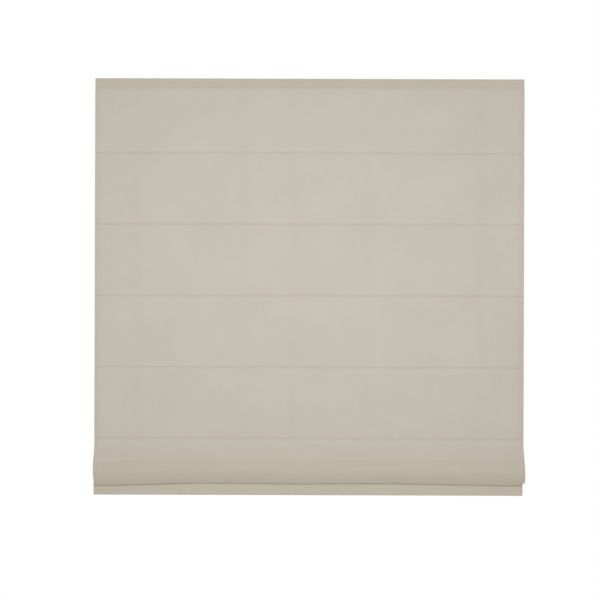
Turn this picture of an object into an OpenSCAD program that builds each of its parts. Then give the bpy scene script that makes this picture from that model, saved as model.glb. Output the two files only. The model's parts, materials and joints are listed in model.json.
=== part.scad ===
// Roman blind with a hidden spring lift, lowered so that only its last fold stands forward.
// X runs across the window, the front faces -Y and Z is up.
// The origin is the centre of the four wall screws, on the plane of the wall.

/* [Cloth] */
// Finished width of the cloth
blind_w = 1200; // [800:10:1800]
// Thickness of one layer of cloth
cloth_t = 0.8; // [0.5:0.1:1.2]
// Height of the edge that is turned down at the top
top_hem_h = 27; // [26:1:32]
// Width of the edges that are turned in at the sides
side_hem_w = 14; // [10:1:25]
// How far a panel stands forward of the seams above and below it
panel_bow = 1.5; // [0.5:0.1:3]
// Length of cloth over which a panel is drawn in towards a seam
seam_ease = 4; // [2:0.5:15]

/* [Seams and last fold] */
// From the top edge to the first seam
first_seam = 207; // [150:1:300]
// Length of cloth from one seam to the next
seam_pitch = 200; // [160:1:260]
// Height of the stitched flat at each seam
stitch_h = 2.4; // [1.6:0.1:4]
// Height that the lowest seam hangs below the seam before it
last_seam_drop = 62; // [45:1:80]
// How far the last fold stands forward
fold_depth = 22; // [18:0.5:30]
// Angle at which the last fold slants back to its bottom
fold_slant = 28; // [22:1:34]
// Radius of the turn at the bottom of the last fold
fold_r = 4; // [3:0.5:6]
// Distance between the layers of cloth that hang one behind the other
fold_gap = 2; // [1.6:0.1:4]
// Length of the bottom section, from the lowest seam to the bottom edge
bottom_section = 96; // [80:1:140]

/* [Bottom bar] */
// Height of the flat bar in the bottom hem
bar_h = 28; // [18:1:32]
// Thickness of the bar
bar_t = 3; // [2:0.5:5]
// Room between the bar and the cloth around it
bar_room = 0.6; // [0.5:0.1:1]
// Wall of the caps on the bar's ends
bar_cap_t = 0.4; // [0.3:0.05:0.45]
// How far a cap reaches along the bar
bar_cap_len = 14; // [8:1:25]
// From the side edge of the cloth to the end of the bar
bar_inset = 18; // [8:1:40]
// Height of the slanted strip where the hem is sewn back to the cloth
hem_slant = 5; // [3:0.5:10]

/* [Rods and pocket tapes] */
// Diameter of a stiffening rod
rod_d = 4; // [3:0.5:6]
// Radial room between a rod and its pocket
rod_room = 0.25; // [0.15:0.05:0.5]
// Thickness of the tape
tape_t = 0.6; // [0.4:0.1:1]
// Height of the flat part of the tape
tape_web = 10; // [6:0.5:16]
// From the side hem of the cloth to the end of a tape
tape_inset = 2; // [1:0.5:10]
// From the end of a tape to the end of its rod
rod_inset = 5; // [2:0.5:15]

/* [Lift cords] */
// Diameter of a lift cord
cord_d = 1.4; // [1:0.1:2]
// From the side edge of the cloth to the outer cords
cord_inset = 120; // [90:1:160]
// Turns of cord that stay on a spool when the blind is down
rest_turns = 1.5; // [1:0.5:3]
// Bore of a cord ring
ring_bore = 8; // [6:0.5:10]
// Diameter of a ring's wire
ring_wire = 1.8; // [1.2:0.1:2.4]
// Diameter of the stop that a cord ends in
stop_d = 10.6; // [9.5:0.1:12]
// Height of the stop
stop_h = 12; // [9:0.5:18]

/* [Lift shaft and spools] */
// Width of the square shaft
shaft_w = 5; // [4:0.5:6]
// Radius that the cord is wound on
drum_r = 10; // [8:0.5:14]
// Length of the wound part of a spool
drum_len = 27; // [22:1:40]
// Length of the cone that pushes the turns along
cone_len = 3; // [2:0.5:5]
// Height of the rims above the wound part
rim_h = 2.2; // [1.5:0.1:3]
// Thickness of the rims
rim_t = 1.5; // [1:0.1:2.5]
// Radius of the journals that a spool turns on
journal_r = 5; // [4.6:0.1:6.5]
// Thickness of a cradle's base and of its cheeks
cradle_t = 2; // [1.6:0.1:3]
// Height of the stiffening walls along a cradle's base
tray_h = 4; // [2:0.5:8]
// Radial running clearance of the journals
run_fit = 0.05; // [0.03:0.01:0.09]

/* [Spring motor] */
// Length of the spring's housing
motor_len = 50; // [40:1:80]
// Wall of the housing's ends
motor_wall = 2.4; // [1.6:0.1:4]
// Thickness of the spring strip
spring_t = 0.3; // [0.2:0.05:0.4]
// Turns of the spring
spring_turns = 6; // [4:1:7]
// Radius of the hub that the spring is wound on
hub_r = 6.4; // [6:0.1:7.5]

/* [Headrail] */
// Wall of the extruded rail
rail_wall = 1.6; // [1.2:0.1:2.4]
// Outer radius of the rail's corners
rail_corner = 2; // [1:0.5:4]
// Width of the lips that the cradles stand on
rail_lip = 5; // [4:0.5:6]
// Width and height of the ledges that hold the cradles down
rail_ledge = 1.2; // [0.8:0.1:2]
// Room behind the spools
rail_room = 7; // [4:0.5:12]
// Room above the spools
rail_headroom = 1.6; // [1:0.1:4]
// From the side edge of the cloth to the end of the headrail
rail_inset = 5; // [2:1:20]
// Thickness of the end caps
cap_t = 3; // [2:0.5:5]
// How far an end cap reaches into the rail
cap_spigot = 9; // [5:1:15]
// Height of the hook-and-loop tape
touch_h = 16; // [12:1:17]
// Thickness of each half of the hook-and-loop tape
touch_t = 1.2; // [1:0.1:1.6]

/* [Wall brackets] */
// From the side edge of the cloth to the middle of a bracket
bracket_inset = 100; // [60:5:200]
// Width of a bracket
bracket_w = 32; // [24:1:50]
// Thickness of the bent plate
bracket_t = 1.6; // [1.2:0.1:2]
// Radius of the plate's lower corners
bracket_corner = 5; // [2:0.5:8]
// Height between the two screws of a bracket
screw_pitch = 18; // [12:1:20]
// Diameter of the screw holes
screw_d = 4.5; // [3.5:0.1:5.5]
// Gap for the screw heads, between a bracket's leg and the rail
head_gap = 5; // [4:0.5:8]
// Depth of the grooves that the brackets snap into
groove_depth = 0.7; // [0.5:0.05:0.9]
// Height of the grooves
groove_h = 2.2; // [1.6:0.1:3]
// From the rail's top to the grooves
groove_drop = 3; // [2.5:0.5:4]
// Height of cloth above the brackets
top_cover = 0.9; // [0.5:0.1:3]

/* [Hidden] */
$fn = 48;
rod_count = 6;
cord_count = 4;

// Clearances that several pieces share
seat_gap = 0.1;
slide_fit = 0.15;
side_play = 0.3;
spool_gap = 0.8;
wind_gap = 0.25;

// Distances behind the middle of the cloth, from the front to the wall
tube_ir = rod_d / 2 + rod_room;
tube_or = tube_ir + tape_t;
tube_behind = cloth_t / 2 + tube_or;
ring_mid_r = (ring_bore + ring_wire) / 2;
ring_out_r = ring_bore / 2 + ring_wire;
cord_behind = cloth_t / 2 + 2 * tube_or + seat_gap + ring_out_r;
wind_r = drum_r + cord_d / 2 + wind_gap;
spool_behind = cord_behind + wind_r;
rim_r = drum_r + rim_h;
rail_front_behind = 1.5 * cloth_t + 2 * touch_t;
rail_back_behind = spool_behind + rim_r + rail_room + rail_wall;
wall_behind = rail_back_behind + head_gap + bracket_t;

// The same places on the Y axis, with the wall at zero
cloth_y = -wall_behind;
tube_y = cloth_y + tube_behind;
cord_y = cloth_y + cord_behind;
spool_y = cloth_y + spool_behind;
rail_front_y = cloth_y + rail_front_behind;
rail_back_y = cloth_y + rail_back_behind;
room_front_y = rail_front_y + rail_wall;
room_back_y = rail_back_y - rail_wall;
clear_front_y = room_front_y + rail_ledge + slide_fit;
clear_back_y = room_back_y - rail_ledge - slide_fit;

// Heights, with the middle of the wall screws at zero
rail_h = 2 * rail_wall + cradle_t + spool_gap + 2 * rim_r + rail_headroom;
rail_top_z = rail_h / 2;
rail_bottom_z = -rail_h / 2;
floor_z = rail_bottom_z + rail_wall;
room_top_z = rail_top_z - rail_wall;
spool_z = floor_z + cradle_t + spool_gap + rim_r;
top_z = rail_top_z + bracket_t + top_cover;

// Lengths across the window
rail_len = blind_w - 2 * (rail_inset + cap_t);
tape_len = blind_w - 2 * (side_hem_w + tape_inset);
rod_len = tape_len - 2 * rod_inset;
bar_len = blind_w - 2 * bar_inset;
bracket_x = blind_w / 2 - bracket_inset;
outer_cord_x = blind_w / 2 - cord_inset;

function cord_x(n) = -outer_cord_x + (n - 1) * 2 * outer_cord_x / (cord_count - 1);

// Seams, as heights
last_flat = rod_count - 1;

function seam_z(i) = top_z - first_seam - (i - 1) * seam_pitch;

hung_seam_z = seam_z(last_flat) - last_seam_drop;
bottom_z = hung_seam_z - bottom_section;

// The last fold: its belly slants back more and more, and its drop uses up one pitch of cloth
belly_power = 1.5;
belly_back = fold_depth - fold_gap - fold_r * (1 + cos(fold_slant));
belly_h = belly_power * belly_back / tan(fold_slant);
belly_stretch = 2 * (1 / pow(cos(fold_slant), 3) - 1) / (3 * pow(tan(fold_slant), 2));
belly_extra = belly_h * (belly_stretch - 1);
turn_extra = fold_r * (PI * (1 - fold_slant / 180) - 2 + sin(fold_slant));
ease_leg = (seam_pitch + last_seam_drop) / 2 - belly_h;
ease_extra = pow(PI * fold_depth, 2) / (16 * ease_leg);
fold_drop = (seam_pitch + last_seam_drop - belly_extra - turn_extra - ease_extra) / 2;
fold_low_z = seam_z(last_flat) - fold_drop;
fold_turn_z = fold_low_z + fold_r;
belly_z = fold_turn_z - fold_r * sin(fold_slant) + belly_h;

// The pocket tapes hang from the seams, the lowest one from the back of the hung crease
function tape_top_z(i) = i < rod_count ? seam_z(i) + stitch_h / 2 : hung_seam_z - fold_gap / 2;
function rod_z(i) = tape_top_z(i) - tape_web - tube_ir;

// The bottom hem wraps the bar
hem_r = bar_t / 2 + bar_room + cloth_t / 2;
hem_axis_z = bottom_z + cloth_t / 2 + hem_r;
bar_bottom_z = hem_axis_z - bar_t / 2;
hem_top_z = bar_bottom_z + bar_h + bar_room;

// Spools and motor
spool_half = drum_len / 2 + rim_t;
cheek_x = spool_half + side_play;
spool_shift = drum_len / 2 - cone_len - cord_d;
wind_pitch = cord_d + seat_gap;
cheek_w = 2 * (journal_r + 4);
spring_out_r = rim_r - seat_gap;
spring_in_r = hub_r + seat_gap + spring_t / 2;
spring_room_r = rim_r + spring_t / 2;
motor_top_z = room_top_z - side_play;

panel_steps = 14;
fold_steps = 14;
turn_steps = 14;
spring_steps = 26;
cord_sides = 8;
cord_turn_steps = 24;

cloth_colour = [0.79, 0.76, 0.71];
tape_colour = [0.86, 0.84, 0.80];
white_plastic = [0.90, 0.90, 0.88];
clear_plastic = [0.82, 0.85, 0.86];
rod_colour = [0.93, 0.93, 0.90];
rail_colour = [0.88, 0.88, 0.87];
zinc_colour = [0.72, 0.74, 0.76];
spring_colour = [0.45, 0.48, 0.52];

rods = [1:rod_count];
cords = [1:cord_count];

// An arc without its first point, so that arcs and lines can be strung together
function arc(centre, r, from, to, steps) = [
    for (k = [1:steps])
        let (a = from + (to - from) * k / steps)
            centre + r * [cos(a), sin(a)]
];

// The four rounded corners of a rectangle, as one outline
function rounded(low, high, r, steps = 5) = concat(
    arc([high[0] - r, high[1] - r], r, 0, 90, steps),
    arc([low[0] + r, high[1] - r], r, 90, 180, steps),
    arc([low[0] + r, low[1] + r], r, 180, 270, steps),
    arc([high[0] - r, low[1] + r], r, 270, 360, steps)
);

// The side of a path that is the back of the cloth, at one of its points
function back_of(path, k) =
    let (
        ahead = path[min(k + 1, len(path) - 1)],
        behind = path[max(k - 1, 0)],
        way = (ahead - behind) / norm(ahead - behind)
    )
    [-way[1], way[0]];

// A layer along a path, between two distances towards the back of the cloth
function layer(path, near, far) = concat(
    [for (k = [0:len(path) - 1]) path[k] + near * back_of(path, k)],
    [for (k = [len(path) - 1:-1:0]) path[k] + far * back_of(path, k)]
);

// Draws a section in Y and Z, and extends it along X
module along_x(length, x = 0) {
    translate([x, 0, 0])
        rotate([90, 0, 90])
            linear_extrude(length, center = true)
                children();
}

// Turns a profile of radius and length around the shaft's axis
module around_shaft(x) {
    translate([x, spool_y, spool_z])
        rotate([0, 90, 0])
            rotate_extrude()
                children();
}

// A round pin or bore on the shaft's axis
module shaft_pin(x, length, r) {
    translate([x, spool_y, spool_z])
        rotate([0, 90, 0])
            cylinder(h = length, r = r, center = true);
}

module square_bar(x, length, width) {
    translate([x, spool_y, spool_z])
        cube([length, width, width], center = true);
}

module block(low, high) {
    translate(low)
        cube(high - low);
}

// Cloth: one length from the top edge to the bottom hem

function panel_start(i) = i == 1 ? top_z - top_hem_h : seam_z(i - 1) - stitch_h / 2;
function panel_end(i) = seam_z(i) + stitch_h / 2;

// A panel's section: flat in the middle, drawn in at both seams
function panel(i) = [
    for (k = [0:panel_steps])
        let (
            along = (1 - cos(180 * k / panel_steps)) / 2,
            length = panel_start(i) - panel_end(i),
            from_seam = length * min(along, 1 - along),
            bow = panel_bow * (1 - exp(-from_seam / seam_ease))
        )
        [cloth_y - bow, panel_start(i) - length * along]
];

fold_start_z = panel_start(rod_count);

// The front of the last fold eases forward from the seam, and its belly slants back below
fold_front = [
    for (k = [0:fold_steps])
        let (along = k / fold_steps)
            [
                cloth_y - fold_depth * (1 - cos(180 * along)) / 2,
                fold_start_z + (belly_z - fold_start_z) * along
            ]
];
fold_belly_curve = [
    for (k = [1:turn_steps])
        let (along = k / turn_steps)
            [
                cloth_y - fold_depth + belly_back * pow(along, belly_power),
                belly_z - belly_h * along
            ]
];
fold_turn = arc([cloth_y - fold_gap - fold_r, fold_turn_z], fold_r, 180 + fold_slant, 360, turn_steps);
hung_crease = concat(
    [[cloth_y - fold_gap, hung_seam_z - fold_gap / 2]],
    arc([cloth_y - fold_gap / 2, hung_seam_z - fold_gap / 2], fold_gap / 2, 180, 0, turn_steps / 2)
);

cloth_path = concat(
    [[cloth_y, top_z]],
    [for (i = [1:last_flat]) each panel(i)],
    fold_front,
    fold_belly_curve,
    fold_turn,
    hung_crease,
    [[cloth_y, hem_axis_z]]
);

// The hem turns back behind the bar and is sewn to the bottom section
hem_path = concat(
    [[cloth_y, hem_axis_z + hem_slant]],
    [[cloth_y, hem_axis_z]],
    arc([cloth_y + hem_r, hem_axis_z], hem_r, 180, 360, turn_steps),
    [[cloth_y + 2 * hem_r, hem_top_z]],
    [[cloth_y + cloth_t / 2, hem_top_z + hem_slant]]
);

module cloth() {
    color(cloth_colour) {
        along_x(blind_w) {
            polygon(layer(cloth_path, -cloth_t / 2, cloth_t / 2));
            polygon(layer(hem_path, -cloth_t / 2, cloth_t / 2));
        }
        for (side = [-1, 1])
            along_x(side_hem_w, side * (blind_w - side_hem_w) / 2)
                polygon(layer(cloth_path, 0, 1.5 * cloth_t));
        block(
            [-blind_w / 2, cloth_y, top_z - top_hem_h],
            [blind_w / 2, cloth_y + 1.5 * cloth_t, top_z]
        );
    }
}

// Hook-and-loop tape between the cloth and the rail

module touch_tape(front_y) {
    block(
        [-rail_len / 2, front_y, top_z - top_hem_h],
        [rail_len / 2, front_y + touch_t, top_z - top_hem_h + touch_h]
    );
}

module loop_tape() {
    color(tape_colour)
        touch_tape(rail_front_y - 2 * touch_t);
}

module hook_tape() {
    color(white_plastic)
        touch_tape(rail_front_y - touch_t);
}

// Headrail: an extruded channel, open below between two lips

rail_outline = rounded([rail_front_y, rail_bottom_z], [rail_back_y, rail_top_z], rail_corner);
groove_low_z = rail_top_z - groove_drop - groove_h;

module rail_groove(y) {
    translate([y - groove_depth, groove_low_z])
        square([2 * groove_depth, groove_h]);
}

// A ledge inside a wall keeps the cradles' bases down on the lips
module ledge(middle_y) {
    translate([middle_y - rail_ledge, floor_z + cradle_t + slide_fit])
        square([2 * rail_ledge, rail_ledge]);
}

module headrail() {
    color(rail_colour)
        along_x(rail_len) {
            difference() {
                polygon(rail_outline);
                translate([room_front_y, floor_z])
                    square([room_back_y - room_front_y, room_top_z - floor_z]);
                translate([rail_front_y + rail_lip, rail_bottom_z - rail_wall])
                    square([rail_back_y - rail_front_y - 2 * rail_lip, 3 * rail_wall]);
                rail_groove(rail_front_y);
                rail_groove(rail_back_y);
            }
            intersection() {
                polygon(rail_outline);
                union() {
                    ledge(room_front_y);
                    ledge(room_back_y);
                }
            }
        }
}

// An end cap closes the channel and plugs into it with a hollow spigot
module end_cap(side) {
    low = [clear_front_y, floor_z + slide_fit];
    high = [clear_back_y, room_top_z - slide_fit];
    color(white_plastic) {
        along_x(cap_t, side * (rail_len + cap_t) / 2)
            polygon(rail_outline);
        along_x(cap_spigot + cap_t, side * (rail_len - cap_spigot + cap_t) / 2)
            difference() {
                translate(low)
                    square(high - low);
                translate(low + [rail_wall, rail_wall])
                    square(high - low - 2 * [rail_wall, rail_wall]);
            }
    }
}

module end_cap_left() {
    end_cap(-1);
}

module end_cap_right() {
    end_cap(1);
}

// Wall bracket: one bent plate that hooks over the rail, with a tab behind it

bend_r = bracket_t;
bracket_arm_z = rail_top_z + bracket_t / 2;
bracket_leg_y = -bracket_t / 2;
bracket_hook_y = rail_front_y - slide_fit - bracket_t / 2;
bracket_tab_y = rail_back_y + slide_fit + bracket_t / 2;
hook_low_z = groove_low_z + slide_fit;

bracket_path = concat(
    [[bracket_leg_y, rail_bottom_z]],
    [[bracket_leg_y, bracket_arm_z - bend_r]],
    arc([bracket_leg_y - bend_r, bracket_arm_z - bend_r], bend_r, 0, 90, turn_steps / 2),
    [[bracket_hook_y + bend_r, bracket_arm_z]],
    arc([bracket_hook_y + bend_r, bracket_arm_z - bend_r], bend_r, 90, 180, turn_steps / 2),
    [[bracket_hook_y, hook_low_z]]
);

// The pressed-in nib that snaps into a groove of the rail
module bracket_nib(hook_y, rail_y) {
    inner_y = rail_y + sign(rail_y - hook_y) * (groove_depth - slide_fit);
    translate([min(hook_y, inner_y), hook_low_z])
        square([abs(inner_y - hook_y), groove_h - 2 * slide_fit]);
}

module bracket_section() {
    polygon(layer(bracket_path, -bracket_t / 2, bracket_t / 2));
    translate([bracket_tab_y - bracket_t / 2, hook_low_z])
        square([bracket_t, bracket_arm_z - hook_low_z]);
    bracket_nib(bracket_hook_y, rail_front_y);
    bracket_nib(bracket_tab_y, rail_back_y);
}

// The plate seen from the front, with its lower corners rounded
module bracket_outline(x) {
    left = x - bracket_w / 2;
    right = x + bracket_w / 2;
    corner_z = rail_bottom_z + bracket_corner;
    translate([0, bracket_t, 0])
        rotate([90, 0, 0])
            linear_extrude(wall_behind + 2 * bracket_t)
                polygon(concat(
                    [[right, top_z], [left, top_z], [left, corner_z]],
                    arc([left + bracket_corner, corner_z], bracket_corner, 180, 270, turn_steps / 2),
                    [[right - bracket_corner, rail_bottom_z]],
                    arc([right - bracket_corner, corner_z], bracket_corner, 270, 360, turn_steps / 2)
                ));
}

module wall_bracket(x) {
    color(zinc_colour)
        difference() {
            intersection() {
                along_x(bracket_w, x)
                    bracket_section();
                bracket_outline(x);
            }
            for (end = [-1, 1])
                translate([x, 0, end * screw_pitch / 2])
                    rotate([90, 0, 0])
                        cylinder(h = 4 * bracket_t, d = screw_d, center = true);
        }
}

module wall_bracket_left() {
    wall_bracket(-bracket_x);
}

module wall_bracket_right() {
    wall_bracket(bracket_x);
}

// Lift shaft, with a spool above each lift cord

shaft_len = 2 * (outer_cord_x + spool_shift + cheek_x + cradle_t + side_play);

function spool_x(n) = cord_x(n) + spool_shift;

module drive_shaft() {
    color(zinc_colour)
        square_bar(0, shaft_len, shaft_w);
}

module cord_spool(n) {
    journal_end = cheek_x + cradle_t;
    cone_r = drum_r + rim_h / 2;
    profile = [
        [0, -journal_end],
        [journal_r, -journal_end],
        [journal_r, -spool_half],
        [rim_r, -spool_half],
        [rim_r, -drum_len / 2],
        [cone_r, -drum_len / 2],
        [drum_r, cone_len - drum_len / 2],
        [drum_r, drum_len / 2],
        [rim_r, drum_len / 2],
        [rim_r, spool_half],
        [journal_r, spool_half],
        [journal_r, journal_end],
        [0, journal_end]
    ];
    color(white_plastic)
        difference() {
            around_shaft(spool_x(n))
                polygon(profile);
            square_bar(spool_x(n), 3 * journal_end, shaft_w + 2 * slide_fit);
        }
}

// A cradle stands on the rail's lips, holds a spool by its journals and guides the cord
module spool_cradle(n) {
    base_x = cheek_x + cradle_t;
    tray_t = cradle_t / 2;
    guide_r = cord_d / 2 + spool_gap;
    cheek = concat(
        [[spool_y - cheek_w / 2, floor_z + cradle_t / 2]],
        [[spool_y + cheek_w / 2, floor_z + cradle_t / 2]],
        [[spool_y + cheek_w / 2, spool_z]],
        arc([spool_y, spool_z], cheek_w / 2, 0, 180, turn_steps)
    );
    color(clear_plastic)
        difference() {
            union() {
                block(
                    [spool_x(n) - base_x, room_front_y + slide_fit, floor_z],
                    [spool_x(n) + base_x, room_back_y - slide_fit, floor_z + cradle_t]
                );
                for (wall_y = [clear_front_y, clear_back_y - tray_t])
                    block(
                        [spool_x(n) - base_x, wall_y, floor_z],
                        [spool_x(n) + base_x, wall_y + tray_t, floor_z + cradle_t + tray_h]
                    );
                for (side = [-1, 1])
                    along_x(cradle_t, spool_x(n) + side * (cheek_x + cradle_t / 2))
                        polygon(cheek);
                translate([cord_x(n), cord_y, rail_bottom_z])
                    cylinder(h = rail_wall + cradle_t / 2, r = guide_r + spool_gap);
            }
            shaft_pin(spool_x(n), 3 * base_x, journal_r + run_fit);
            translate([cord_x(n), cord_y, rail_bottom_z - cradle_t])
                cylinder(h = rail_wall + 3 * cradle_t, r = guide_r);
        }
}

// Spring motor: a clock spring in a housing, wound by a hub on the shaft

module motor_slab(x0, x1) {
    block([x0, clear_front_y, floor_z], [x1, clear_back_y, motor_top_z]);
}

module motor_housing() {
    color(white_plastic)
        difference() {
            motor_slab(-motor_len / 2, motor_len / 2);
            shaft_pin(motor_wall, motor_len, spring_room_r);
            shaft_pin(0, 2 * motor_len, journal_r + run_fit);
        }
}

module motor_cover() {
    color(clear_plastic)
        difference() {
            motor_slab(motor_len / 2, motor_len / 2 + motor_wall);
            shaft_pin(motor_len / 2, 4 * motor_wall, journal_r + run_fit);
        }
}

module spring_hub() {
    low = -motor_len / 2;
    high = motor_len / 2 + motor_wall;
    profile = [
        [0, low],
        [journal_r, low],
        [journal_r, low + motor_wall + side_play],
        [hub_r, low + motor_wall + side_play],
        [hub_r, high - motor_wall - side_play],
        [journal_r, high - motor_wall - side_play],
        [journal_r, high],
        [0, high]
    ];
    color(white_plastic)
        difference() {
            around_shaft(0)
                polygon(profile);
            square_bar(0, 2 * motor_len, shaft_w + 2 * slide_fit);
        }
}

// The spring's strip, from the hub out to the wall of the housing
spring_end = spring_turns * spring_steps;
spring_path = [
    for (k = [0:spring_end])
        let (
            r = spring_in_r + (spring_out_r - spring_in_r) * k / spring_end,
            a = 360 * k / spring_steps
        )
        [spool_y + r * cos(a), spool_z + r * sin(a)]
];

module power_spring() {
    color(spring_colour)
        along_x(motor_len - motor_wall - 4 * side_play, motor_wall / 2)
            polygon(layer(spring_path, -spring_t / 2, spring_t / 2));
}

// Pocket tapes and their rods

module pocket_tape(i) {
    web_low_z = rod_z(i) + 0.6 * tube_ir;
    color(tape_colour)
        along_x(tape_len)
            difference() {
                union() {
                    translate([cloth_y + cloth_t / 2, web_low_z])
                        square([tape_t, tape_top_z(i) - web_low_z]);
                    translate([tube_y, rod_z(i)])
                        circle(r = tube_or);
                }
                translate([tube_y, rod_z(i)])
                    circle(r = tube_ir);
            }
}

module rod(i) {
    color(rod_colour)
        translate([0, tube_y, rod_z(i)])
            rotate([0, 90, 0])
                cylinder(h = rod_len, d = rod_d, center = true);
}

// The rings behind one rod, that guide the cords
module cord_rings(i) {
    color(clear_plastic)
        for (n = cords)
            translate([cord_x(n), cord_y, rod_z(i)])
                rotate_extrude()
                    translate([ring_mid_r, 0])
                        circle(d = ring_wire);
}

// Lift cords: from a few turns on a spool straight down to a stop under the lowest ring

stop_top_z = rod_z(rod_count) - ring_wire / 2 - seat_gap;
cord_end_z = stop_top_z - stop_h / 2;

// Each station of a cord is its distance along X, its angle on the spool and its drop
function cord_stations() = concat(
    [
        for (k = [0:rest_turns * cord_turn_steps])
            let (left = rest_turns - k / cord_turn_steps)
                [left * wind_pitch, 180 - 360 * left, 0]
    ],
    [[0, 180, spool_z - cord_end_z]]
);

function cord_ring(n, station) = [
    for (k = [0:cord_sides - 1])
        let (
            a = 360 * k / cord_sides,
            r = wind_r + cord_d / 2 * sin(a)
        )
        [
            cord_x(n) + station[0] + cord_d / 2 * cos(a),
            spool_y + r * cos(station[1]),
            spool_z - station[2] + r * sin(station[1])
        ]
];

module lift_cord(n) {
    stations = cord_stations();
    rings = len(stations);
    sides = [
        for (s = [0:rings - 2], k = [0:cord_sides - 1])
            let (
                here = s * cord_sides,
                next = (k + 1) % cord_sides
            )
            each [
                [here + k, here + next, here + cord_sides + k],
                [here + next, here + cord_sides + next, here + cord_sides + k]
            ]
    ];
    start = [for (k = [cord_sides - 1:-1:0]) k];
    finish = [for (k = [0:cord_sides - 1]) (rings - 1) * cord_sides + k];
    color(rod_colour)
        polyhedron(
            points = [for (station = stations) each cord_ring(n, station)],
            faces = concat(sides, [start, finish])
        );
}

// The stops are wider than the rings' bores, so that they lift the lowest rod
module cord_stops() {
    edge = stop_h / 8;
    r = stop_d / 2;
    bore_r = cord_d / 2 + slide_fit;
    profile = [
        [0, -stop_h],
        [r - edge, -stop_h],
        [r, edge - stop_h],
        [r, -edge],
        [r - edge / 2, 0],
        [bore_r, 0],
        [bore_r, -stop_h / 2 - slide_fit],
        [0, -stop_h / 2 - slide_fit]
    ];
    color(clear_plastic)
        for (n = cords)
            translate([cord_x(n), cord_y, stop_top_z])
                rotate_extrude()
                    polygon(profile);
}

// Bottom bar and its end caps

module bar_section(grow) {
    low = [cloth_y + hem_r - bar_t / 2 - grow, bar_bottom_z - grow];
    high = [cloth_y + hem_r + bar_t / 2 + grow, bar_bottom_z + bar_h + grow];
    polygon(rounded(low, high, bar_t / 2 + grow - seat_gap));
}

module bottom_bar() {
    color(zinc_colour)
        along_x(bar_len)
            bar_section(0);
}

module bar_cap(side) {
    cap_end = bar_len / 2 + bar_cap_t;
    color(white_plastic)
        difference() {
            along_x(bar_cap_len + bar_cap_t, side * (cap_end - (bar_cap_len + bar_cap_t) / 2))
                bar_section(bar_cap_t);
            along_x(bar_len)
                bar_section(run_fit);
        }
}

module bar_cap_left() {
    bar_cap(-1);
}

module bar_cap_right() {
    bar_cap(1);
}

cloth();
headrail();
end_cap_left();
end_cap_right();
hook_tape();
loop_tape();
wall_bracket_left();
wall_bracket_right();
drive_shaft();
motor_housing();
motor_cover();
spring_hub();
power_spring();
for (n = cords) {
    cord_spool(n);
    spool_cradle(n);
    lift_cord(n);
}
for (i = rods) {
    pocket_tape(i);
    rod(i);
    cord_rings(i);
}
cord_stops();
bottom_bar();
bar_cap_left();
bar_cap_right();
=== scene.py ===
"""Dresses the roman blind: woven cloth with sewn seams, braided cords, and a finish for the rest."""

import functools
import json
import math

import bmesh
import bpy
import numpy as np
from mathutils import Matrix, Vector

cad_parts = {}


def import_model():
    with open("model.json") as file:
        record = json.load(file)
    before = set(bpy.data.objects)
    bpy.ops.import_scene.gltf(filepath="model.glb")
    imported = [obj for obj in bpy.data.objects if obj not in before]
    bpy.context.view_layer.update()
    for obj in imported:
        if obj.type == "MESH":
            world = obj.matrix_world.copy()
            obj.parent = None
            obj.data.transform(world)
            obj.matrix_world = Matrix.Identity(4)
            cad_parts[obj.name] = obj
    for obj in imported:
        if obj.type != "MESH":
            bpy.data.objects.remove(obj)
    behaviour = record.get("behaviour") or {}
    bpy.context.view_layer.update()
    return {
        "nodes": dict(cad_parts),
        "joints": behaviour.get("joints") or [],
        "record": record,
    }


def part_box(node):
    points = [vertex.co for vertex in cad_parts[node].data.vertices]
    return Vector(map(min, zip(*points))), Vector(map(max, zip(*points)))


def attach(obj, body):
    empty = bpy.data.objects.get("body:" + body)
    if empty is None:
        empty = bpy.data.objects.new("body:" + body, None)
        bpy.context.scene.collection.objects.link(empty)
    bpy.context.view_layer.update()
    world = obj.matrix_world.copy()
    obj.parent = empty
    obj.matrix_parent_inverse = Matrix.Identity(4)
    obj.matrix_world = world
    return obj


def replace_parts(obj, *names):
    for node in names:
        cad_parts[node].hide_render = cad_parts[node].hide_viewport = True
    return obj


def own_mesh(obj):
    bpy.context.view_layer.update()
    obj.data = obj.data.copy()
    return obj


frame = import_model()

MM = 0.001
RODS = range(1, 7)
FLAT_RODS = range(1, 6)
CORDS = range(1, 5)
JOINTS = {joint["name"]: joint for joint in frame["joints"]}

box = functools.lru_cache(None)(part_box)


def low(node):
    return box(node)[0]


def high(node):
    return box(node)[1]


def middle(node):
    return (low(node) + high(node)) / 2


# Sizes of the blind that its solids don't show by themselves
LAYER_SHARE = 0.75
STITCH_H = 2.4 * MM
PANEL_BOW = 1.5 * MM
SEAM_EASE = 4 * MM
SIDE_HEM = 14 * MM
HEM_SLANT = 5 * MM
FOLD_GAP = 2 * MM
FOLD_R = 4 * MM
FOLD_SLANT = math.radians(28)
BELLY_POWER = 1.5
ROD_ROOM = 0.25 * MM
CORD_D = 1.4 * MM
WIND_PITCH = 1.5 * MM
REST_TURNS = 1.5

# Places of the cloth, from the pieces that it is sewn to
CLOTH_T = low("loop_tape").y - low("pocket_tape_1").y
CLOTH_Y = low("pocket_tape_1").y - CLOTH_T / 2
LAYER_T = LAYER_SHARE * CLOTH_T
WIDTH = high("cloth").x - low("cloth").x
FLAT_REACH = WIDTH / 2 - LAYER_T / 2 - CLOTH_T / 2
TOP = high("cloth").z
BOTTOM = low("cloth").z
HEM_Z = low("loop_tape").z
SEAMS = [high(f"pocket_tape_{i}").z - STITCH_H / 2 for i in FLAT_RODS]
LAST_SEAM = SEAMS[-1]
HUNG_Z = high("pocket_tape_6").z + FOLD_GAP / 2

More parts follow.
